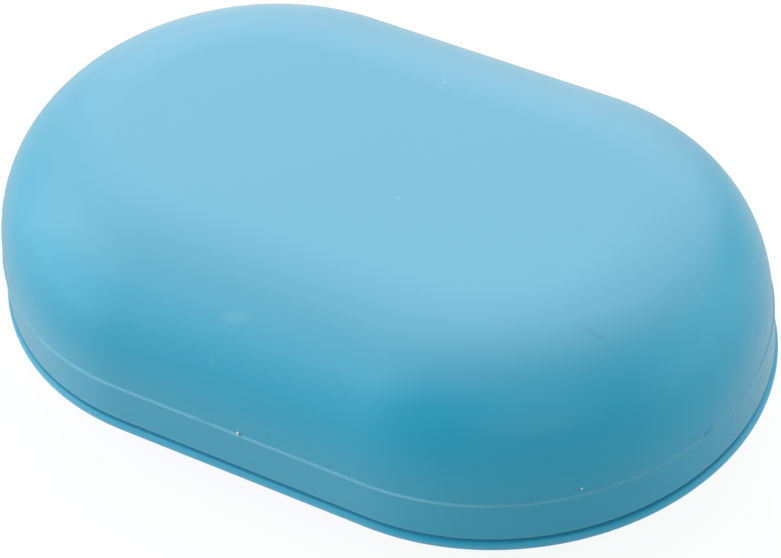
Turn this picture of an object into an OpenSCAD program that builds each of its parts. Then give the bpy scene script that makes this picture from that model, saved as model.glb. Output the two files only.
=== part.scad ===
// Travel soap box. A domed lid presses on over the rim of a shallow base, against a silicone ring.
// The soap lies on a slotted rack that stands on the base's floor, above the water that drips off.
// Millimetres. The closed box stands on z = 0, with its long side along x and its middle at x = y = 0.
// In plan every piece is an oval with straight sides and round ends, set in or out from the others.

/* [Outline] */
// Length of the box over its rim flange
box_l = 114.7; // [108:0.1:122]
// Width of the box over its rim flange, which is also the width of its round ends
box_w = 75; // [70:0.5:80]
// Height of the closed box
box_h = 35.3; // [32:0.1:40]

/* [Base] */
// Thickness of the base's wall and floor
base_wall = 1.5; // [1.2:0.1:1.8]
// Height of the flange's underside above the table
flange_z = 8; // [7.5:0.5:11]
// Thickness of the flange at its edge
flange_t = 1.45; // [1.2:0.05:2]
// How far the flange stands out from the base's wall
flange_reach = 3.6; // [3.3:0.1:4.2]
// Rounding of the flange's outer edges
flange_edge_r = 0.4; // [0.2:0.05:0.55]
// Outer rounding between the base's wall and its floor
bowl_corner_r = 7; // [5:0.5:7]
// Height of the foot ring under the floor
foot_h = 0.8; // [0.4:0.1:1.2]
// Width of the foot ring
foot_w = 2.6; // [2:0.1:4]
// How far the foot ring stands in from the edge of the flat floor
foot_inset = 1; // [0.5:0.1:3]

/* [Rim] */
// Height of the seat above the flange, which leaves the dark line round the closed box
seat_h = 0.3; // [0.2:0.05:0.6]
// How far the dark line reaches in under the lid's rim
line_depth = 0.55; // [0.45:0.05:0.7]
// Height of the base's wall above the seat
collar_h = 6; // [5.4:0.1:6.4]
// Thickness of the two ribs that hold the sealing ring
rib_t = 0.85; // [0.6:0.05:1]
// Rounding of the ribs' outer edges
rib_edge_r = 0.3; // [0.15:0.05:0.3]
// Height of the ring's groove above the seat
groove_rise = 1.95; // [1.6:0.05:2.2]
// Gap between the ribs and the lid's skirt
skirt_gap = 0.3; // [0.2:0.05:0.45]

/* [Sealing ring] */
// Height of the sealing ring
seal_h = 2.1; // [1.8:0.05:2.2]
// Space left above the ring in its groove
seal_play = 0.1; // [0.05:0.05:0.2]
// Radius of the ring's two rounded lips
seal_lip_r = 0.45; // [0.35:0.05:0.5]
// Gap between the lips, drawn relaxed, and the lid's skirt
seal_gap = 0.1; // [0.1:0.05:0.15]

/* [Lid] */
// Thickness of the lid's dome
lid_wall = 1.5; // [1.2:0.1:1.8]
// Thickness of the lid's skirt
skirt_wall = 1.6; // [1.3:0.1:1.7]
// How far the flange stands out past the lid's skirt
flange_show = 0.35; // [0.2:0.05:0.5]
// Height of the skirt from the lid's rim to the fine ledge
skirt_h = 6.55; // [6:0.05:8]
// Width of the fine ledge where the dome stands back from the skirt
ledge_w = 0.2; // [0.1:0.05:0.3]
// Rounding of the rim's two edges
rim_edge_r = 0.4; // [0.2:0.05:0.6]
// Lean of the dome's side wall in degrees
dome_draft = 5; // [2:0.5:8]
// Outer rounding of the dome's shoulder
shoulder_r = 17.5; // [13:0.5:18.5]

/* [Drain rack] */
// Thickness of the rack's plate
rack_t = 1.5; // [1.2:0.1:2]
// Height of the rack's legs
leg_h = 2.7; // [2.2:0.1:4]
// Thickness of a leg
leg_t = 1.6; // [1.2:0.1:2]
// Length of a leg
leg_l = 6; // [4:0.5:8]
// Distance from a leg's end to the edge of the flat floor
leg_inset = 1.5; // [1:0.1:3]
// Gap between the rack and the base, all round
rack_gap = 0.6; // [0.4:0.1:1.5]
// Thickness of the rim round the rack
rack_rim_t = 1.4; // [1.2:0.1:2]
// Height of that rim above the plate
rack_rim_h = 2; // [1.4:0.1:3]
// Width of a slot
slot_w = 3.4; // [2.5:0.1:3.8]
// Distance between slots
slot_pitch = 7; // [6:0.1:8]
// Width of the plain strip between the two rows of slots
spine_w = 6; // [4:0.5:10]
// Plain border between the slots and the rack's rim
border_w = 3.4; // [2.5:0.1:6]
// Height of the ribs that the soap lies on
soap_rib_h = 0.8; // [0.5:0.1:1.2]
// Width of those ribs
soap_rib_w = 1.4; // [1:0.1:2]
// Radius of the two finger scoops in the rack's rim
scoop_r = 16; // [12:0.5:24]
// Depth of the finger scoops
scoop_depth = 1.5; // [0.8:0.1:1.9]

/* [Hidden] */
$fn = 96;
// How far joined shapes run into each other
bite = 0.2;
// Colours of the moulded plastic and of the silicone
plastic_blue = [0.43, 0.73, 0.85];
rack_blue = [0.52, 0.79, 0.88];
silicone_white = [0.86, 0.91, 0.92];

// Half of the straight side, and the half widths of the flange, the lid and the base's wall
half_straight = (box_l - box_w) / 2;
flange_r = box_w / 2;
skirt_r = flange_r - flange_show;
skirt_in_r = skirt_r - skirt_wall;
base_r = flange_r - flange_reach;
base_mid_r = base_r - base_wall / 2;

// Heights of the rim, from the flange up
flange_top = flange_z + flange_t;
seat_z = flange_top + seat_h;
seat_r = skirt_r - line_depth;
rib_r = skirt_in_r - skirt_gap;
groove_z = seat_z + groove_rise;
groove_top = groove_z + seal_h + seal_play;
collar_top = seat_z + collar_h;

// The bowl's rounded corner: its centre, and the flat of the floor inside
corner_r = base_r - bowl_corner_r;
corner_z = foot_h + bowl_corner_r;
floor_z = foot_h + base_wall;
corner_in = bowl_corner_r - base_wall;
foot_r = corner_r - foot_inset;

// The dome's shoulder is tangent to the leaning side wall and to the flat top
ledge_z = seat_z + skirt_h;
dome_r = skirt_r - ledge_w;
shoulder_z = box_h - shoulder_r;
shoulder_at = dome_r - (shoulder_r + (shoulder_z - ledge_z) * sin(dome_draft)) / cos(dome_draft);

// The rack's plate fits inside the bowl at the height where it stands
plate_z = floor_z + leg_h;
plate_top = plate_z + rack_t;
bowl_at_plate = corner_r + sqrt(pow(corner_in, 2) - pow(max(0, corner_z - plate_z), 2));
rack_r = bowl_at_plate - rack_gap;
slot_field_r = rack_r - rack_rim_t - border_w;
slot_count = floor((half_straight + slot_field_r - slot_w) / slot_pitch);
leg_reach = corner_r - leg_inset;
inner_land = floor(half_straight / slot_pitch);
outer_land = max([for (k = [inner_land + 1:slot_count]) if (oval_half(land_x(k) + leg_t, leg_reach) > leg_l) k]);

// Half width of an oval of radius r at the distance x along it
function oval_half(x, r) = sqrt(max(0, pow(r, 2) - pow(max(0, abs(x) - half_straight), 2)));
// Middle of the strip of plate between two slots
function land_x(k) = (k + 0.5) * slot_pitch;

// Sweeps a half section, drawn as distance from the middle line and height, round the whole oval
module around_oval() {
    for (side = [-1, 1])
        translate([side * half_straight, 0, 0])
            rotate([0, 0, -90 * side])
                rotate_extrude(angle = 180)
                    children();
    translate([-half_straight, 0, 0])
        rotate([90, 0, 90])
            linear_extrude(2 * half_straight) {
                children();
                mirror([1, 0])
                    children();
            }
}

// The quarter of a disc that lies towards side_r and side_z of its centre
module quarter(at_r, at_z, radius, side_r, side_z) {
    translate([at_r, at_z])
        intersection() {
            circle(radius);
            translate([min(0, side_r * radius), min(0, side_z * radius)])
                square(radius);
        }
}

// A block of section whose outer edges are rounded
module round_nosed(r_in, r_out, z_low, z_high, edge_r) {
    translate([r_in, z_low])
        square([r_out - edge_r - r_in, z_high - z_low]);
    translate([r_out - edge_r, z_low + edge_r])
        square([edge_r, z_high - z_low - 2 * edge_r]);
    quarter(r_out - edge_r, z_high - edge_r, edge_r, 1, 1);
    quarter(r_out - edge_r, z_low + edge_r, edge_r, 1, -1);
}

// Half section of the bowl, filled, with its surface set in by inset and its sides up to top
module bowl_fill(inset, top) {
    translate([0, foot_h + inset])
        square([corner_r, top - foot_h - inset]);
    translate([corner_r, corner_z])
        square([bowl_corner_r - inset, top - corner_z]);
    quarter(corner_r, corner_z, bowl_corner_r - inset, 1, -1);
}

// Half section of the base: bowl, foot ring, flange, seat and the ribs of the ring's groove
module base_section() {
    difference() {
        bowl_fill(0, collar_top - base_wall / 2);
        bowl_fill(base_wall, collar_top);
    }
    quarter(base_mid_r, collar_top - base_wall / 2, base_wall / 2, 1, 1);
    quarter(base_mid_r, collar_top - base_wall / 2, base_wall / 2, -1, 1);
    translate([foot_r - foot_w, 0])
        square([foot_w, foot_h + bite]);
    round_nosed(base_mid_r, flange_r, flange_z, flange_top, flange_edge_r);
    translate([base_mid_r, flange_top - bite])
        square([seat_r - base_mid_r, seat_h + bite]);
    round_nosed(base_mid_r, rib_r, groove_z - rib_t, groove_z, rib_edge_r);
    round_nosed(base_mid_r, rib_r, groove_top, groove_top + rib_t, rib_edge_r);
}

// Base: one moulded shell, with the wall that carries the lid standing up inside the flange
module base() {
    color(plastic_blue)
        around_oval()
            base_section();
}

// Sealing ring: a band stretched round the wall between the two ribs, with two rounded lips
module seal_ring() {
    lip_at = skirt_in_r - seal_gap - seal_lip_r;
    color(silicone_white)
        around_oval() {
            translate([base_r, groove_z])
                square([lip_at - base_r, seal_h]);
            for (lip_z = [groove_z + seal_lip_r, groove_z + seal_h - seal_lip_r]) {
                quarter(lip_at, lip_z, seal_lip_r, 1, 1);
                quarter(lip_at, lip_z, seal_lip_r, 1, -1);
            }
        }
}

// Half section of the dome, filled, with its surface set in by inset
module dome_fill(inset) {
    arc_r = shoulder_r - inset;
    side_r = dome_r - inset / cos(dome_draft);
    polygon([
        [0, ledge_z - bite],
        [side_r, ledge_z - bite],
        [side_r, ledge_z],
        [shoulder_at + arc_r * cos(dome_draft), shoulder_z + arc_r * sin(dome_draft)],
        [shoulder_at, shoulder_z],
        [shoulder_at, box_h - inset],
        [0, box_h - inset]
    ]);
    quarter(shoulder_at, shoulder_z, arc_r, 1, 1, $fn = 180);
}

// Half section of the lid: a skirt with a rounded rim, and the thinner dome standing back on it
module lid_section() {
    translate([skirt_in_r, seat_z + rim_edge_r])
        square([skirt_wall, skirt_h - rim_edge_r]);
    translate([skirt_in_r + rim_edge_r, seat_z])
        square([skirt_wall - 2 * rim_edge_r, rim_edge_r]);
    quarter(skirt_r - rim_edge_r, seat_z + rim_edge_r, rim_edge_r, 1, -1);
    quarter(skirt_in_r + rim_edge_r, seat_z + rim_edge_r, rim_edge_r, -1, -1);
    difference() {
        dome_fill(0);
        dome_fill(lid_wall);
    }
}

// Lid: one moulded dome that slides over the ribs and the ring and lands on the seat
module lid() {
    color(plastic_blue)
        around_oval()
            lid_section();
}

// Oval outline of radius r
module oval(r) {
    translate([-half_straight, -r])
        square([2 * half_straight, 2 * r]);
    for (side = [-1, 1])
        intersection() {
            translate([side * half_straight, 0])
                circle(r);
            translate([side > 0 ? half_straight : -half_straight - r, -r])
                square([r, 2 * r]);
        }
}

// A bar of width w across the rack, with round ends, from y_low to y_high at x
module round_bar(x, y_low, y_high, w) {
    translate([x - w / 2, y_low + w / 2])
        square([w, y_high - y_low - w]);
    for (end = [[y_high - w / 2, 0], [y_low + w / 2, -w / 2]])
        translate([x, end[0]])
            intersection() {
                circle(w / 2);
                translate([-w / 2, end[1]])
                    square([w, w / 2]);
            }
}

// Slots of the rack: two rows across it, as long as the oval leaves room for
module slots() {
    for (k = [-slot_count:slot_count], side = [-1, 1]) {
        x = k * slot_pitch;
        reach = oval_half(abs(x) + slot_w / 2, slot_field_r);
        if (reach - spine_w / 2 > 2 * slot_w)
            mirror([0, side > 0 ? 0 : 1])
                round_bar(x, spine_w / 2, reach, slot_w);
    }
}

// Legs of the rack: four pairs of short blades under the plate, on the flat of the floor
module legs() {
    for (k = [inner_land, outer_land], side_x = [-1, 1], side_y = [-1, 1]) {
        x = side_x * land_x(k);
        reach = oval_half(abs(x) + leg_t / 2, leg_reach);
        translate([x - leg_t / 2, side_y > 0 ? reach - leg_l : -reach, floor_z])
            cube([leg_t, leg_l, leg_h + bite]);
    }
}

// Ribs that the soap lies on, one on each strip of plate between two slots
module soap_ribs() {
    for (k = [-slot_count:slot_count - 1]) {
        x = land_x(k);
        reach = oval_half(abs(x) + soap_rib_w / 2, slot_field_r);
        if (reach > 2 * soap_rib_w)
            translate([0, 0, plate_top - bite])
                linear_extrude(soap_rib_h + bite)
                    round_bar(x, -reach, reach, soap_rib_w);
    }
}

// Half section of the rack's rim, with a round top
module rack_rim_section() {
    top = plate_top + rack_rim_h;
    mid_r = rack_r - rack_rim_t / 2;
    translate([rack_r - rack_rim_t, plate_z])
        square([rack_rim_t, top - rack_rim_t / 2 - plate_z]);
    quarter(mid_r, top - rack_rim_t / 2, rack_rim_t / 2, 1, 1);
    quarter(mid_r, top - rack_rim_t / 2, rack_rim_t / 2, -1, 1);
}

// Drain rack: a slotted plate with a rim, soap ribs, legs, and a scoop on each side for a finger
module drain_rack() {
    color(rack_blue) {
        difference() {
            around_oval()
                rack_rim_section();
            translate([0, 0, plate_top + rack_rim_h - scoop_depth + scoop_r])
                rotate([90, 0, 0])
                    cylinder(h = 2 * box_w, r = scoop_r, center = true);
        }
        translate([0, 0, plate_z])
            linear_extrude(rack_t)
                difference() {
                    oval(rack_r - rack_rim_t / 2);
                    slots();
                }
        soap_ribs();
        legs();
    }
}

base();
seal_ring();
drain_rack();
lid();
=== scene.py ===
import math

import bmesh
import bpy
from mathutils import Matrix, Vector


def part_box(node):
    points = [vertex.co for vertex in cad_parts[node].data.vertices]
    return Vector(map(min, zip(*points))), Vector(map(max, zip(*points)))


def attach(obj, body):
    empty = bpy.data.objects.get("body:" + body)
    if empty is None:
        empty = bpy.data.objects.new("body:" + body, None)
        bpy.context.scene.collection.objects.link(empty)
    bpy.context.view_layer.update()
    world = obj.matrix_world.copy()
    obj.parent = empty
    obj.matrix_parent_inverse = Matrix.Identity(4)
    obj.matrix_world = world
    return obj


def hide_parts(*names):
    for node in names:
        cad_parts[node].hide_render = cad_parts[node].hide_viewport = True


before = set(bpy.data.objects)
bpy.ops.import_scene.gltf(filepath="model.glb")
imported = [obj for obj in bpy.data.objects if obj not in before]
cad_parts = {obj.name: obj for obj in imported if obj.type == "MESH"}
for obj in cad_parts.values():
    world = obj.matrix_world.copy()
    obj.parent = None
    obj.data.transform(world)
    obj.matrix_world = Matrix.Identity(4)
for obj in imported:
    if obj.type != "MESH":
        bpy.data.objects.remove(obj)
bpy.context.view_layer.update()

# Lid. One dome of sky-blue polypropylene, moulded with a satin face. Its skirt slides down over the
# ribs of the base's wall and its rounded rim lands on the seat of the flange. The dome stands back
# from the skirt by a hair, where the two halves of the mould met, and that ledge runs right round.
mm = 0.001
base_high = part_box("base")[1]
lid_low, lid_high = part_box("lid")
flange_r = base_high.y / mm
half_straight = base_high.x / mm - flange_r
lid_top = lid_high.z / mm
rim_z = lid_low.z / mm
rim_edge_r = 0.5
skirt_r = lid_high.y / mm
skirt_wall = 1.6
skirt_in_r = skirt_r - skirt_wall
skirt_h = 6.55
ledge_z = rim_z + skirt_h
ledge_w = 0.2
ledge_edge_r = 0.06
ledge_root_r = 0.04
inner_ledge_drop = 0.2
inner_ledge_z = ledge_z - inner_ledge_drop
dome_r = skirt_r - ledge_w
dome_draft = math.radians(1.5)
lid_wall = 1.5
flat_r = 16.5
side_top_z = 17.5
shoulder_fullness = 0.885


def rounded_line(corners, closed=False, arc_step=4.0, small_r=1.0, small_steps=4, support=0.12):
    """The line through corners (distance out, height, rounding), each rounded off by an arc."""
    count = len(corners)
    line = []
    for i, (r, z, rounding) in enumerate(corners):
        here = Vector((r, z))
        if not closed and i in (0, count - 1):
            line.append(here)
            continue
        back = Vector(corners[i - 1][:2]) - here
        ahead = Vector(corners[(i + 1) % count][:2]) - here
        room_back = back.length
        room_ahead = ahead.length
        back.normalize()
        ahead.normalize()
        half_angle = back.angle(ahead) / 2
        reach = rounding / math.tan(half_angle)
        centre = here + (back + ahead).normalized() * rounding / math.sin(half_angle)
        start = here + back * reach - centre
        turn = start.angle_signed(here + ahead * reach - centre)
        steps = round(abs(math.degrees(turn)) / arc_step) if rounding > small_r else small_steps
        line.append(here + back * min(reach + support, (reach + room_back) / 2))
        for k in range(steps + 1):
            around = -turn * k / steps
            line.append(centre + Vector((
                start.x * math.cos(around) - start.y * math.sin(around),
                start.x * math.sin(around) + start.y * math.cos(around))))
        line.append(here + ahead * min(reach + support, (reach + room_ahead) / 2))
    return line


def oval_stations(turn_steps=96, side_steps=40):
    """Places on the oval's middle line, each with the direction that faces out there."""
    stations = []
    for side in (1, -1):
        for k in range(turn_steps + 1):
            angle = math.radians(-90 * side + 180 * k / turn_steps)
            stations.append((side * half_straight, math.cos(angle), math.sin(angle)))
        for k in range(1, side_steps):
            stations.append((side * half_straight * (1 - 2 * k / side_steps), 0.0, float(side)))
    return stations


def oval_sweep(name, line, closed=False, same_point=1e-7):
    """A piece whose half section is line, swept round the whole oval."""
    body = bmesh.new()
    rings = []
    for x, out_x, out_y in oval_stations():
        rings.append([body.verts.new(((x + p.x * out_x) * mm, p.x * out_y * mm, p.y * mm)) for p in line])
    spans = [(k, k + 1) for k in range(len(line) - 1)]
    if closed:
        spans.append((len(line) - 1, 0))
    for ring, following in zip(rings, rings[1:] + rings[:1]):
        for a, b in spans:
            body.faces.new((ring[a], following[a], following[b], ring[b]))
    bmesh.ops.remove_doubles(body, verts=body.verts, dist=same_point)
    bmesh.ops.recalc_face_normals(body, faces=body.faces)
    for face in body.faces:
        face.smooth = True
    mesh = bpy.data.meshes.new(name)
    body.to_mesh(mesh)
    body.free()
    piece = bpy.data.objects.new(name, mesh)
    bpy.context.scene.collection.objects.link(piece)
    return piece


def side_at(height, inset):
    """How far out the dome's leaning side stands at a height, measured inset below its surface."""
    return dome_r - (height - ledge_z) * math.tan(dome_draft) - inset / math.cos(dome_draft)


def crowned_shoulder(inset, steps=36):
    """The dome's shoulder, set in by inset: it starts gently on the top and is tightest half way down."""
    high = lid_top - inset
    start = Vector((flat_r, high))
    corner = Vector((side_at(high, inset), high))
    end = Vector((side_at(side_top_z, inset), side_top_z))
    line = []
    for k in range(steps + 1):
        t = k / steps
        weights = ((1 - t) ** 2, 2 * shoulder_fullness * t * (1 - t), t ** 2)
        line.append((start * weights[0] + corner * weights[1] + end * weights[2]) / sum(weights))
    return line


skirt_line = rounded_line([
    (side_at(side_top_z, 0), side_top_z, 0),
    (dome_r, ledge_z, ledge_root_r),
    (skirt_r, ledge_z, ledge_edge_r),
    (skirt_r, rim_z, rim_edge_r),
    (skirt_in_r, rim_z, rim_edge_r),
    (skirt_in_r, inner_ledge_z, ledge_root_r),
    (side_at(inner_ledge_z, lid_wall), inner_ledge_z, ledge_root_r),
    (side_at(side_top_z, lid_wall), side_top_z, 0),
])
lid_line = [Vector((0, lid_top)), Vector((flat_r / 2, lid_top))] + crowned_shoulder(0)[:-1] + skirt_line
lid_line += crowned_shoulder(lid_wall)[-2::-1] + [Vector((0, lid_top - lid_wall))]
lid = oval_sweep("lid_moulding", lid_line)


def add_turned(mesh, line, centre, axis, steps):
    """Adds a small closed feature: line (radius, height) from its top down, turned about axis at centre."""
    up = Vector(axis).normalized()
    across = up.orthogonal().normalized()
    along = up.cross(across)
    body = bmesh.new()
    body.from_mesh(mesh)
    rings = []
    for r, height in line:
        ring = []
        for k in range(steps):
            angle = math.radians(360 * k / steps)
            out = across * math.cos(angle) + along * math.sin(angle)
            ring.append(body.verts.new((Vector(centre) + out * r + up * height) * mm))
        rings.append(ring)
    body.faces.new(rings[0])
    body.faces.new(rings[-1][::-1])
    for ring, following in zip(rings, rings[1:]):
        for k in range(steps):
            body.faces.new((ring[k], following[k], following[(k + 1) % steps], ring[(k + 1) % steps]))
    for face in body.faces:
        face.smooth = True
    body.to_mesh(mesh)
    body.free()


nib_steps = 14
nib_line = [(0.06, 0.38), (0.18, 0.34), (0.27, 0.25), (0.32, 0.12), (0.34, -0.12)]
small_nib_line = [(0.05, 0.20), (0.12, 0.17), (0.17, 0.10), (0.20, -0.10)]
add_turned(lid.data, nib_line, centre=(0.4, -36.85, 16.55), axis=(0, -0.3, 1), steps=nib_steps)
add_turned(lid.data, small_nib_line, centre=(46.6, -25.4, 17.3), axis=(0.7, -0.7, 0.3), steps=nib_steps)
downward = (0, 0, -1)
pin_mark_line = [(2.9, 0.06), (3.0, 0.02), (3.05, -0.1)]
pin_mark_steps = 40
pin_x = 30


def add_pin_marks(mesh, pin_y, z):
    """Four faint round marks where the mould's pins pushed, which face down at a height."""
    for side_x in (-1, 1):
        for side_y in (-1, 1):
            centre = (side_x * pin_x, side_y * pin_y, z)
            add_turned(mesh, pin_mark_line, centre, downward, pin_mark_steps)


add_pin_marks(lid.data, pin_y=8, z=lid_top - lid_wall)


def feed(tree, node, inputs):
    """Gives each named input of a node its value, or a link from the socket that makes it."""
    for label, value in inputs.items():
        if isinstance(value, bpy.types.NodeSocket):
            tree.links.new(value, node.inputs[label])
        else:
            node.inputs[label].default_value = value


def add_node(tree, kind, inputs, **settings):
    """A new shader node with its settings made and its inputs fed."""
    node = tree.nodes.new("ShaderNode" + kind)
    for setting, value in settings.items():
        setattr(node, setting, value)
    feed(tree, node, inputs)
    return node


def reckon(tree, operation, *values):
    """One step of arithmetic on numbers and sockets."""
    return add_node(tree, "Math", dict(enumerate(values)), operation=operation).outputs["Value"]


def place_on(tree):
    """Where a point lies on the piece, in metres."""
    return tree.nodes.new("ShaderNodeTexCoord").outputs["Object"]


def noise(tree, scale, detail):
    """Irregular patches over the piece, finer as scale rises."""
    inputs = {"Vector": place_on(tree), "Scale": scale, "Detail": detail}
    return add_node(tree, "TexNoise", inputs).outputs["Fac"]


def ramp(tree, value, black, white, smooth=False):
    """A mask that is black where a value is at one limit, and white at the other."""
    inputs = {"Value": value, "From Min": black, "From Max": white}
    interpolation = "SMOOTHSTEP" if smooth else "LINEAR"
    return add_node(tree, "MapRange", inputs, interpolation_type=interpolation).outputs["Result"]


def near(tree, axis, middle, full, none):
    """A mask along an axis of the piece: white within full of middle and black from none on, in metres."""
    along = add_node(tree, "SeparateXYZ", {"Vector": place_on(tree)}).outputs[axis]
    away = reckon(tree, "ABSOLUTE", reckon(tree, "SUBTRACT", along, middle))
    return ramp(tree, away, black=none, white=full, smooth=True)


def blend(tree, under, over, amount, kind="MIX"):
    """Lays one colour on another by an amount."""
    inputs = {"Factor": amount, "A": under, "B": over}
    return add_node(tree, "Mix", inputs, data_type="RGBA", blend_type=kind).outputs["Result"]


def empty_group(name, inputs, outputs):
    """A node group with its named inputs and outputs, given as the kind of socket under each label."""
    group = bpy.data.node_groups.new(name, "ShaderNodeTree")
    for in_out, sockets in (("INPUT", inputs), ("OUTPUT", outputs)):
        for label, kind in sockets.items():
            group.interface.new_socket(name=label, in_out=in_out, socket_type="NodeSocket" + kind)
    given = group.nodes.new("NodeGroupInput").outputs
    result = group.nodes.new("NodeGroupOutput")
    return group, given, result


def moulded_surface_group():
    """What a moulded face shows: a slow drift of tone, a painted top sheen, uneven gloss and a fine grain.
    """
    group, given, result = empty_group(
        "moulded_surface",
        {"Colour": "Color", "Worn Colour": "Color", "Drift": "Float",
         "Painted Sheen": "Float", "Roughness": "Float", "Unevenness": "Float"},
        {"Colour": "Color", "Roughness": "Float", "Height": "Float"})
    slow = ramp(group, noise(group, scale=38, detail=3), black=0.35, white=0.65)
    fine = ramp(group, noise(group, scale=900, detail=4), black=0.3, white=0.7)
    grain = noise(group, scale=5200, detail=2)
    drift = reckon(group, "MULTIPLY", slow, given["Drift"])
    drifted = blend(group, given["Colour"], given["Worn Colour"], drift)
    facing = group.nodes.new("ShaderNodeTexCoord").outputs["Normal"]
    facing_up = add_node(group, "SeparateXYZ", {"Vector": facing}).outputs["Z"]
    # Painted sheen: faces turned up are lightened, as where a broad lamp's sheen lies on the top.
    painted_sheen_mask = ramp(group, facing_up, black=0.65, white=1.0, smooth=True)
    painted_sheen = reckon(group, "MULTIPLY", painted_sheen_mask, given["Painted Sheen"])
    painted_sheen_tint = (0.10, 0.05, 0.03, 1)
    middle_of_fine = 0.5
    either_way = reckon(group, "SUBTRACT", fine, middle_of_fine)
    uneven_gloss = reckon(group, "MULTIPLY", either_way, given["Unevenness"])
    grain_share = 0.6
    fine_share = 0.4
    grain_height = reckon(group, "MULTIPLY", grain, grain_share)
    fine_height = reckon(group, "MULTIPLY", fine, fine_share)
    feed(group, result, {
        "Colour": blend(group, drifted, painted_sheen_tint, painted_sheen, kind="ADD"),
        "Roughness": reckon(group, "ADD", given["Roughness"], uneven_gloss),
        "Height": reckon(group, "ADD", grain_height, fine_height),
    })
    return group


def soft_band_group():
    """Lays Tint round the piece: in full within Reach of the height Level, and no more at Fade."""
    group, given, result = empty_group(
        "soft_band",
        {"Colour": "Color", "Tint": "Color", "Strength": "Float",
         "Level": "Float", "Reach": "Float", "Fade": "Float"},
        {"Colour": "Color"})
    mask = near(group, "Z", given["Level"], given["Reach"], given["Fade"])
    amount = reckon(group, "MULTIPLY", mask, given["Strength"])
    feed(group, result, {"Colour": blend(group, given["Colour"], given["Tint"], amount)})
    return group


def soft_spot_group():
    """Lays Tint on an oval of half sizes Reach at Centre, turned by Turn about the upright axis."""
    group, given, result = empty_group(
        "soft_spot",
        {"Colour": "Color", "Tint": "Color", "Strength": "Float",
         "Centre": "Vector", "Reach": "Vector", "Turn": "Float"},
        {"Colour": "Color"})
    rotation = add_node(group, "CombineXYZ", {"Z": given["Turn"]}).outputs["Vector"]
    local = add_node(group, "Mapping", {
        "Vector": place_on(group),
        "Location": given["Centre"],
        "Rotation": rotation,
        "Scale": given["Reach"],
    }, vector_type="TEXTURE").outputs["Vector"]
    away = add_node(group, "VectorMath", {0: local}, operation="LENGTH").outputs["Value"]
    mask = ramp(group, away, black=1.0, white=0.35, smooth=True)
    amount = reckon(group, "MULTIPLY", mask, given["Strength"])
    feed(group, result, {"Colour": blend(group, given["Colour"], given["Tint"], amount)})
    return group


moulded_surface = moulded_surface_group()
soft_band = soft_band_group()
soft_spot = soft_spot_group()
tone_drift = 0.3
grain_depth = 0.006
grain_strength = 0.5


def moulded_finish(name, colour, worn_colour, roughness, unevenness=0.08, painted_sheen=0.0):
    """A finish straight from the mould: a body colour with a fine grain under a soft satin sheen."""
    material = bpy.data.materials.new(name)
    material.use_nodes = True
    tree = material.node_tree
    surface = add_node(tree, "Group", {
        "Colour": (*colour, 1),
        "Worn Colour": (*worn_colour, 1),
        "Drift": tone_drift,
        "Painted Sheen": painted_sheen,
        "Roughness": roughness,
        "Unevenness": unevenness,
    }, node_tree=moulded_surface).outputs
    grain = add_node(tree, "Bump", {
        "Strength": grain_strength,
        "Distance": grain_depth * mm,
        "Height": surface["Height"],
    })
    feed(tree, tree.nodes["Principled BSDF"], {
        "Base Color": surface["Colour"],
        "Roughness": surface["Roughness"],
        "Normal": grain.outputs["Normal"],
        "IOR": 1.5,
        "Sheen Weight": 0.5,
        "Sheen Roughness": 0.5,
    })
    return material


def lay_tint(material, effect, tint, strength, place):
    """Places an effect in a material, over the colour that it shows so far."""
    tree = material.node_tree
    shown = tree.nodes["Principled BSDF"].inputs["Base Color"]
    inputs = {"Colour": shown.links[0].from_socket, "Tint": (*tint, 1), "Strength": strength, **place}
    laid = add_node(tree, "Group", inputs, node_tree=effect)
    tree.links.new(laid.outputs["Colour"], shown)


def lay_band(material, tint, strength, level, reach, fade):
    """Tints a material round the piece, with the band's sizes in millimetres."""
    lay_tint(material, soft_band, tint, strength, {
        "Level": level * mm,
        "Reach": reach * mm,
        "Fade": fade * mm,
    })


def lay_spot(material, tint, strength, centre, reach, turn=0.0):
    """Tints an oval place on a material, with the oval's sizes in millimetres and its turn in degrees."""
    lay_tint(material, soft_spot, tint, strength, {
        "Centre": Vector(centre) * mm,
        "Reach": Vector(reach) * mm,
        "Turn": math.radians(turn),
    })


sky_blue = (0.0, 0.37, 0.57)
pale_blue = (0.01, 0.385, 0.585)
satin = 0.42
# The lid's top carries the painted sheen in full.
lid_plastic = moulded_finish("lid_plastic", sky_blue, pale_blue, roughness=satin, painted_sheen=1.0)
# Painted glow and shade: a band of slightly deeper blue at the lid's rim stands in for light coming through
# the plastic in the shade of the groove over the flange.
painted_groove_glow = (0.0, 0.34, 0.53)
painted_groove_glow_strength = 0.8
lay_band(lid_plastic, painted_groove_glow, painted_groove_glow_strength, level=rim_z, reach=0.05, fade=0.45)
# A pale line painted along the ledge: partly pale flash where the mould's halves met, partly painted
# highlight where the ledge catches the light, painted brighter over the middle of the long sides.
flash_and_highlight_blue = (0.22, 0.62, 0.82)
flash_and_highlight_strength = 0.45
painted_highlight_strength = 0.75
lid_tree = lid_plastic.node_tree
broken_line = ramp(lid_tree, noise(lid_tree, scale=260, detail=3), black=0.26, white=0.42, smooth=True)
painted_highlight_stretch = near(lid_tree, "X", middle=-10 * mm, full=34 * mm, none=52 * mm)
painted_highlight_line = reckon(lid_tree, "MULTIPLY", broken_line, painted_highlight_stretch)
for flash, strength in ((broken_line, flash_and_highlight_strength), (painted_highlight_line, painted_highlight_strength)):
    flash_strength = reckon(lid_tree, "MULTIPLY", flash, strength)
    lay_band(lid_plastic, flash_and_highlight_blue, flash_strength, level=ledge_z, reach=0.07, fade=0.20)
whitened = (0.42, 0.70, 0.80)
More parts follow.
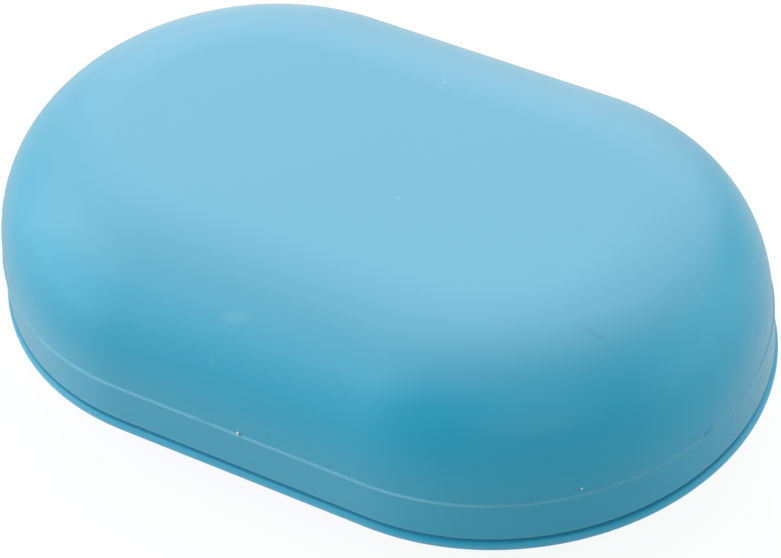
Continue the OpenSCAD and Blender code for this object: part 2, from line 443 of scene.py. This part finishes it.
# Dark blue for small dark marks, and for painted shade and a painted dark reflection.
dark_marks_and_painted_shade = (0.0, 0.20, 0.34)
nib_glint_white = (0.8, 0.9, 0.92)
light_specks = (
    ((0.55, 19.2, 35.2), (0.32, 0.40, 0.5), -30),
    ((7.3, -4.3, 35.3), (0.32, 0.32, 0.5), 0),
)
faint_scuffs = (
    ((2.8, 18.3, 35.25), (2.2, 0.16, 0.6), -18),
    ((-0.8, 21.2, 34.9), (1.8, 0.25, 1.0), -50),
    ((-2.2, -30.4, 31.3), (3.4, 1.0, 1.3), 20),
    ((-4.0, -34.7, 26.3), (0.5, 0.4, 0.8), 0),
)
# The first smudge is a painted dark reflection on the top; the second is a small darker smudge.
dark_reflection_and_smudge = (
    ((42.6, -13.6, 33.5), (2.8, 0.7, 1.6), 4),
    ((-1.0, -31.7, 30.2), (0.4, 0.6, 0.6), 0),
)
# The first two are painted shade round the two nibs; the other two are small dark specks.
nib_shade_and_specks = (
    ((0.3, -37.0, 16.75), (0.75, 0.6, 0.42), 0),
    ((46.5, -25.6, 17.35), (0.5, 0.5, 0.36), 0),
    ((5.4, -36.9, 18.0), (0.3, 0.4, 0.2), 0),
    ((15.1, -36.9, 17.1), (0.7, 0.4, 0.16), 0),
)
# The nib tips are painted near white: a painted glint on the pale flash of the nibs.
nib_tips = (
    ((0.4, -37.0, 16.7), (0.32, 0.6, 0.3), 0),
    ((46.7, -25.5, 17.4), (0.24, 0.24, 0.2), 0),
)
for marks, colour, strength in (
        (light_specks, whitened, 0.35),
        (faint_scuffs, whitened, 0.09),
        (dark_reflection_and_smudge, dark_marks_and_painted_shade, 0.18),
        (nib_shade_and_specks, dark_marks_and_painted_shade, 0.5),
        (nib_tips, nib_glint_white, 1.0)):
    for centre, reach, turn in marks:
        lay_spot(lid_plastic, colour, strength, centre, reach, turn)
lid.data.materials.append(lid_plastic)
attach(lid, "lid")
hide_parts("lid")

# Base. A shallow bowl moulded in the same plastic, on a low foot ring. Its flange is the thin strip
# that shows under the lid, and inside the flange the wall stands up with two ribs that hold the
# sealing ring.
base_wall = 1.5
base_corner_r = 0.15
flange_z = 8.0
flange_t = 1.45
flange_w = 3.6
flange_top = flange_z + flange_t
flange_edge_r = 0.55
base_r = flange_r - flange_w
base_in_r = base_r - base_wall
seat_inset = 0.55
seat_r = skirt_r - seat_inset
seat_corner_r = 0.08
collar_top = base_high.z / mm
collar_edge_r = 0.7
seal_low, seal_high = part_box("seal_ring")
seal_play = 0.1
groove_z = seal_low.z / mm
groove_top = seal_high.z / mm + seal_play
groove_corner_r = 0.08
rib_t = 0.85
rib_clearance = 0.3
rib_r = skirt_in_r - rib_clearance
rib_edge_r = 0.3
bowl_corner_r = 7.0
foot_h = 0.8
foot_w = 2.6
foot_inset = 1.0
foot_edge_r = 0.25
foot_root_r = 0.2
foot_out_r = base_r - bowl_corner_r - foot_inset
foot_in_r = foot_out_r - foot_w
floor_z = foot_h + base_wall
base_line = rounded_line([
    (0, foot_h, 0),
    (foot_in_r, foot_h, foot_root_r),
    (foot_in_r, 0, foot_edge_r),
    (foot_out_r, 0, foot_edge_r),
    (foot_out_r, foot_h, foot_root_r),
    (base_r, foot_h, bowl_corner_r),
    (base_r, flange_z, base_corner_r),
    (flange_r, flange_z, flange_edge_r),
    (flange_r, flange_top, flange_edge_r),
    (seat_r, flange_top, seat_corner_r),
    (seat_r, rim_z, seat_corner_r),
    (base_r, rim_z, base_corner_r),
    (base_r, groove_z - rib_t, base_corner_r),
    (rib_r, groove_z - rib_t, rib_edge_r),
    (rib_r, groove_z, rib_edge_r),
    (base_r, groove_z, groove_corner_r),
    (base_r, groove_top, groove_corner_r),
    (rib_r, groove_top, rib_edge_r),
    (rib_r, groove_top + rib_t, rib_edge_r),
    (base_r, groove_top + rib_t, base_corner_r),
    (base_r, collar_top, collar_edge_r),
    (base_in_r, collar_top, collar_edge_r),
    (base_in_r, floor_z, bowl_corner_r - base_wall),
    (0, floor_z, 0),
])
base = oval_sweep("base_moulding", base_line)
gate_stub_line = [(0.6, 0.5), (0.7, 0.4), (0.7, -0.1)]
add_turned(base.data, gate_stub_line, centre=(0, 0, foot_h), axis=downward, steps=24)
add_pin_marks(base.data, pin_y=10, z=foot_h)
base_plastic = moulded_finish("base_plastic", sky_blue, pale_blue, roughness=satin)
# Painted highlight: a lighter band along the flange's rounded edge, where it faces the light.
flange_painted_highlight_blue = (0.10, 0.46, 0.68)
flange_painted_highlight_z = flange_z + 0.6
# Painted sheen: a greyer band along the flange's lower edge, for the pale sheen of its grazing rim.
flange_painted_sheen_grey = (0.22, 0.34, 0.46)
# Painted shadow: a near-black spot low on the flange's edge at the front of the right-hand end.
painted_shadow_black = (0.0, 0.03, 0.05)
lay_band(base_plastic, flange_painted_highlight_blue, strength=0.6, level=flange_painted_highlight_z, reach=0.2, fade=0.7)
lay_band(base_plastic, flange_painted_sheen_grey, strength=0.4, level=flange_z, reach=0.1, fade=0.35)
# The same painted glow and shade along the groove under the lid's rim.
lay_band(base_plastic, painted_groove_glow, painted_groove_glow_strength, level=rim_z, reach=0.3, fade=0.6)
lay_spot(base_plastic, painted_shadow_black, strength=0.9, centre=(49.1, -23.5, 8.4), reach=(0.3, 0.3, 0.25))
base.data.materials.append(base_plastic)
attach(base, "base")
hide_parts("base")

# Sealing ring. A moulded band of milky silicone, stretched round the base's wall between the two
# ribs. Two rounded lips stand out from it and press on the inside of the lid's skirt.
heel_r = 0.1
waist_corner_r = 0.05
lip_r = 0.45
lip_edge_r = lip_r - 0.02
lip_play = 0.1
lip_reach = skirt_in_r - lip_play
waist_reach = lip_reach - lip_r
seal_top = groove_top - seal_play
low_lip_top = groove_z + 2 * lip_r
high_lip_low = seal_top - 2 * lip_r
seal_line = rounded_line([
    (base_r, groove_z, heel_r),
    (lip_reach, groove_z, lip_edge_r),
    (lip_reach, low_lip_top, lip_edge_r),
    (waist_reach, low_lip_top, waist_corner_r),
    (waist_reach, high_lip_low, waist_corner_r),
    (lip_reach, high_lip_low, lip_edge_r),
    (lip_reach, seal_top, lip_edge_r),
    (base_r, seal_top, heel_r),
], closed=True, support=0.01)
seal = oval_sweep("sealing_ring", seal_line, closed=True)
milky = (0.70, 0.78, 0.80)
milky_worn = (0.60, 0.70, 0.74)
seal_silicone = moulded_finish("seal_silicone", milky, milky_worn, roughness=0.38, unevenness=0.15)
feed(seal_silicone.node_tree, seal_silicone.node_tree.nodes["Principled BSDF"], {
    "Subsurface Weight": 0.3,
    "Subsurface Scale": 0.6 * mm,
})
seal.data.materials.append(seal_silicone)
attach(seal, "base")
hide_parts("seal_ring")

# Drain rack. A loose slotted plate moulded in paler blue plastic, which stands on eight short legs in
# the bowl. The soap lies on its ribs and the water runs through the slots. A scoop in each long side
# of the rim lets a fingertip lift it out.
rack_low, rack_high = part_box("drain_rack")
rack_r = rack_high.y / mm
rack_top = rack_high.z / mm
leg_h = 2.7
plate_t = 1.5
plate_z = rack_low.z / mm + leg_h
plate_top = plate_z + plate_t
rack_rim_t = 1.4
rack_rim_in_r = rack_r - rack_rim_t
rack_rim_line = rounded_line([
    (rack_rim_in_r, plate_z, 0.1),
    (rack_r, plate_z, 0.3),
    (rack_r, rack_top, 0.66),
    (rack_rim_in_r, rack_top, 0.66),
], closed=True)
rack_rim = oval_sweep("drain_rack_moulding", rack_rim_line, closed=True)
scoop_r = 16.0
scoop_depth = 1.5
scoop_full_z = rack_top - rack_rim_t / 2
for vertex in rack_rim.data.vertices:
    across = abs(vertex.co.x) / mm
    drop = scoop_depth - scoop_r + math.sqrt(max(0.0, scoop_r ** 2 - across ** 2))
    if drop > 0 and vertex.co.z > plate_top * mm:
        follow = min(1.0, (vertex.co.z / mm - plate_top) / (scoop_full_z - plate_top))
        vertex.co.z -= drop * follow * mm


def oval_half(x, r):
    """Half width of an oval of half width r at the distance x along it."""
    return math.sqrt(max(0.0, r ** 2 - max(0.0, abs(x) - half_straight) ** 2))


def round_bar(x, y_low, y_high, width, arc_steps=12):
    """Outline of a bar across the rack with round ends."""
    half = width / 2
    outline = []
    for end_y, start in ((y_high - half, 0), (y_low + half, 180)):
        for k in range(arc_steps + 1):
            angle = math.radians(start + 180 * k / arc_steps)
            outline.append((x + half * math.cos(angle), end_y + half * math.sin(angle)))
    return outline


def flat_moulding(outlines, z_low, z_high, edge_r, edge_steps=2):
    """A mesh between two heights, inside the first outline and outside the others, with softened edges."""
    shape = bpy.data.curves.new("flat_moulding", "CURVE")
    shape.dimensions = "2D"
    shape.fill_mode = "BOTH"
    shape.extrude = ((z_high - z_low) / 2 - edge_r) * mm
    shape.bevel_depth = edge_r * mm
    shape.bevel_resolution = edge_steps
    shape.offset = -edge_r * mm
    for outline in outlines:
        spline = shape.splines.new("POLY")
        spline.points.add(len(outline) - 1)
        for point, (x, y) in zip(spline.points, outline):
            point.co = (x * mm, y * mm, 0, 1)
        spline.use_cyclic_u = True
    holder = bpy.data.objects.new("flat_moulding", shape)
    mesh = bpy.data.meshes.new_from_object(holder)
    for vertex in mesh.vertices:
        vertex.co.z += (z_low + z_high) / 2 * mm
    bpy.data.objects.remove(holder)
    bpy.data.curves.remove(shape)
    return mesh


slot_w = 3.4
slot_pitch = 7.0
slot_margin = 3.4
shortest_slot = 2 * slot_w
spine_w = 6.0
slot_field_r = rack_rim_in_r - slot_margin
slot_count = int((half_straight + slot_field_r - slot_w) / slot_pitch)
slots = []
for k in range(-slot_count, slot_count + 1):
    x = k * slot_pitch
    reach = oval_half(abs(x) + slot_w / 2, slot_field_r)
    if reach - spine_w / 2 > shortest_slot:
        slots.append(round_bar(x, spine_w / 2, reach, slot_w)[::-1])
        slots.append(round_bar(x, -reach, -spine_w / 2, slot_w)[::-1])
plate_r = rack_r - rack_rim_t / 2
plate_stations = oval_stations(turn_steps=64, side_steps=2)
plate_outline = [(x + plate_r * out_x, plate_r * out_y) for x, out_x, out_y in plate_stations]
rack_parts = [flat_moulding([plate_outline] + slots, plate_z, plate_top, edge_r=0.25)]
soap_rib_w = 1.4
soap_rib_h = 0.8
soap_rib_root = 0.6
for k in range(-slot_count, slot_count):
    x = (k + 0.5) * slot_pitch
    reach = oval_half(abs(x) + soap_rib_w / 2, slot_field_r)
    soap_rib = round_bar(x, -reach, reach, soap_rib_w)
    rack_parts.append(flat_moulding(
        [soap_rib], plate_top - soap_rib_root, plate_top + soap_rib_h, edge_r=0.45))
leg_w = 1.6
leg_l = 6.0
leg_root = 0.5
leg_inset = 1.5
leg_reach_r = base_r - bowl_corner_r - leg_inset
square = ((-1, -1), (1, -1), (1, 1), (-1, 1))
for land in (2.5, 5.5):
    x = land * slot_pitch
    y = oval_half(x + leg_w / 2, leg_reach_r) - leg_l / 2
    for side_x in (-1, 1):
        for side_y in (-1, 1):
            leg = [(side_x * x + sx * leg_w / 2, side_y * y + sy * leg_l / 2) for sx, sy in square]
            rack_parts.append(flat_moulding([leg], plate_z - leg_h, plate_z + leg_root, edge_r=0.2))
body = bmesh.new()
body.from_mesh(rack_rim.data)
for part in rack_parts:
    body.from_mesh(part)
    bpy.data.meshes.remove(part)
for face in body.faces:
    face.smooth = True
body.to_mesh(rack_rim.data)
body.free()
rack_rim.modifiers.new("even_shading", "WEIGHTED_NORMAL")
rack_blue = (0.04, 0.40, 0.56)
rack_blue_worn = (0.07, 0.44, 0.60)
rack_plastic = moulded_finish("rack_plastic", rack_blue, rack_blue_worn, roughness=0.45)
rack_rim.data.materials.append(rack_plastic)
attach(rack_rim, "drain_rack")
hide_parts("drain_rack")

# Studio floor. A plain pale sheet laid a hair below the box, which runs out of view. Seen by the
# camera it is close to white, and it still takes the box's soft shadow.
floor_half_m = 3.0
floor_drop = 0.02
floor_mesh = bpy.data.meshes.new("floor")
floor_corners = [(sx * floor_half_m, sy * floor_half_m, 0) for sx, sy in square]
floor_mesh.from_pydata(floor_corners, [], [(0, 1, 2, 3)])
floor = bpy.data.objects.new("floor", floor_mesh)
floor.location.z = -floor_drop * mm
bpy.context.scene.collection.objects.link(floor)
white = (1, 1, 1, 1)
mid_grey = (0.50, 0.50, 0.50, 1)
glow_share = 0.75
floor_paint = bpy.data.materials.new("floor_paint")
floor_paint.use_nodes = True
floor_tree = floor_paint.node_tree
sheet = floor_tree.nodes["Principled BSDF"]
feed(floor_tree, sheet, {"Base Color": mid_grey, "Roughness": 0.9})
glow = add_node(floor_tree, "Emission", {"Color": white, "Strength": 1.2})
seen = floor_tree.nodes.new("ShaderNodeLightPath").outputs["Is Camera Ray"]
glowing_sheet = add_node(floor_tree, "MixShader", {
    "Fac": reckon(floor_tree, "MULTIPLY", seen, glow_share),
    1: sheet.outputs["BSDF"],
    2: glow.outputs["Emission"],
})
feed(floor_tree, floor_tree.nodes["Material Output"], {"Surface": glowing_sheet.outputs["Shader"]})
floor_mesh.materials.append(floor_paint)

# Studio light. Large soft lamps stand behind, to the left and to the right of the box, with a smaller
# one in front. A faint plain surround fills the rest.
lamp_distance_m = 0.9
box_middle = Vector((0, 0, lid_top / 2 * mm))


def way_out(azimuth, elevation):
    """The direction from the box towards an azimuth, 0 in front and 90 on the right, and an elevation."""
    around = math.radians(azimuth)
    up = math.radians(elevation)
    return Vector((math.sin(around) * math.cos(up), -math.cos(around) * math.cos(up), math.sin(up)))


for name, azimuth, elevation, size_m, power_w in (
        ("rear_lamp", -160, 45, 1.3, 9.0),
        ("left_lamp", -60, 22, 1.1, 10.8),
        ("right_lamp", 120, 14, 1.0, 5.4),
        ("front_lamp", 45, 32, 0.7, 2.1)):
    light = bpy.data.lights.new(name, "AREA")
    light.size = size_m
    light.energy = power_w
    lamp = bpy.data.objects.new(name, light)
    bpy.context.scene.collection.objects.link(lamp)
    towards = way_out(azimuth, elevation)
    lamp.location = box_middle + towards * lamp_distance_m
    lamp.rotation_euler = towards.to_track_quat("Z", "Y").to_euler()
surround = bpy.data.worlds.new("surround")
bpy.context.scene.world = surround
surround.use_nodes = True
feed(surround.node_tree, surround.node_tree.nodes["Background"], {"Color": white, "Strength": 0.05})

# Camera. It looks down on the near long side and the right-hand end, a little rolled, from about half
# a metre away.
view_roll = math.radians(-6.49)
view_distance = 506.4
view_aim = Vector((5.14, -5.12, 20.0)) * mm
frame_w = 781
focal_pixels = 3679.6
lens = bpy.data.cameras.new("camera")
lens.sensor_width = 36
lens.lens = focal_pixels / frame_w * lens.sensor_width
lens.clip_start = 0.01
camera = bpy.data.objects.new("camera", lens)
bpy.context.scene.collection.objects.link(camera)
back = way_out(azimuth=36.03, elevation=43.18)
camera.location = view_aim + back * view_distance * mm
camera.rotation_euler = back.to_track_quat("Z", "Y").to_euler()
camera.rotation_euler.rotate_axis("Z", view_roll)
bpy.context.scene.camera = camera
bpy.context.scene.view_settings.view_transform = "Standard"
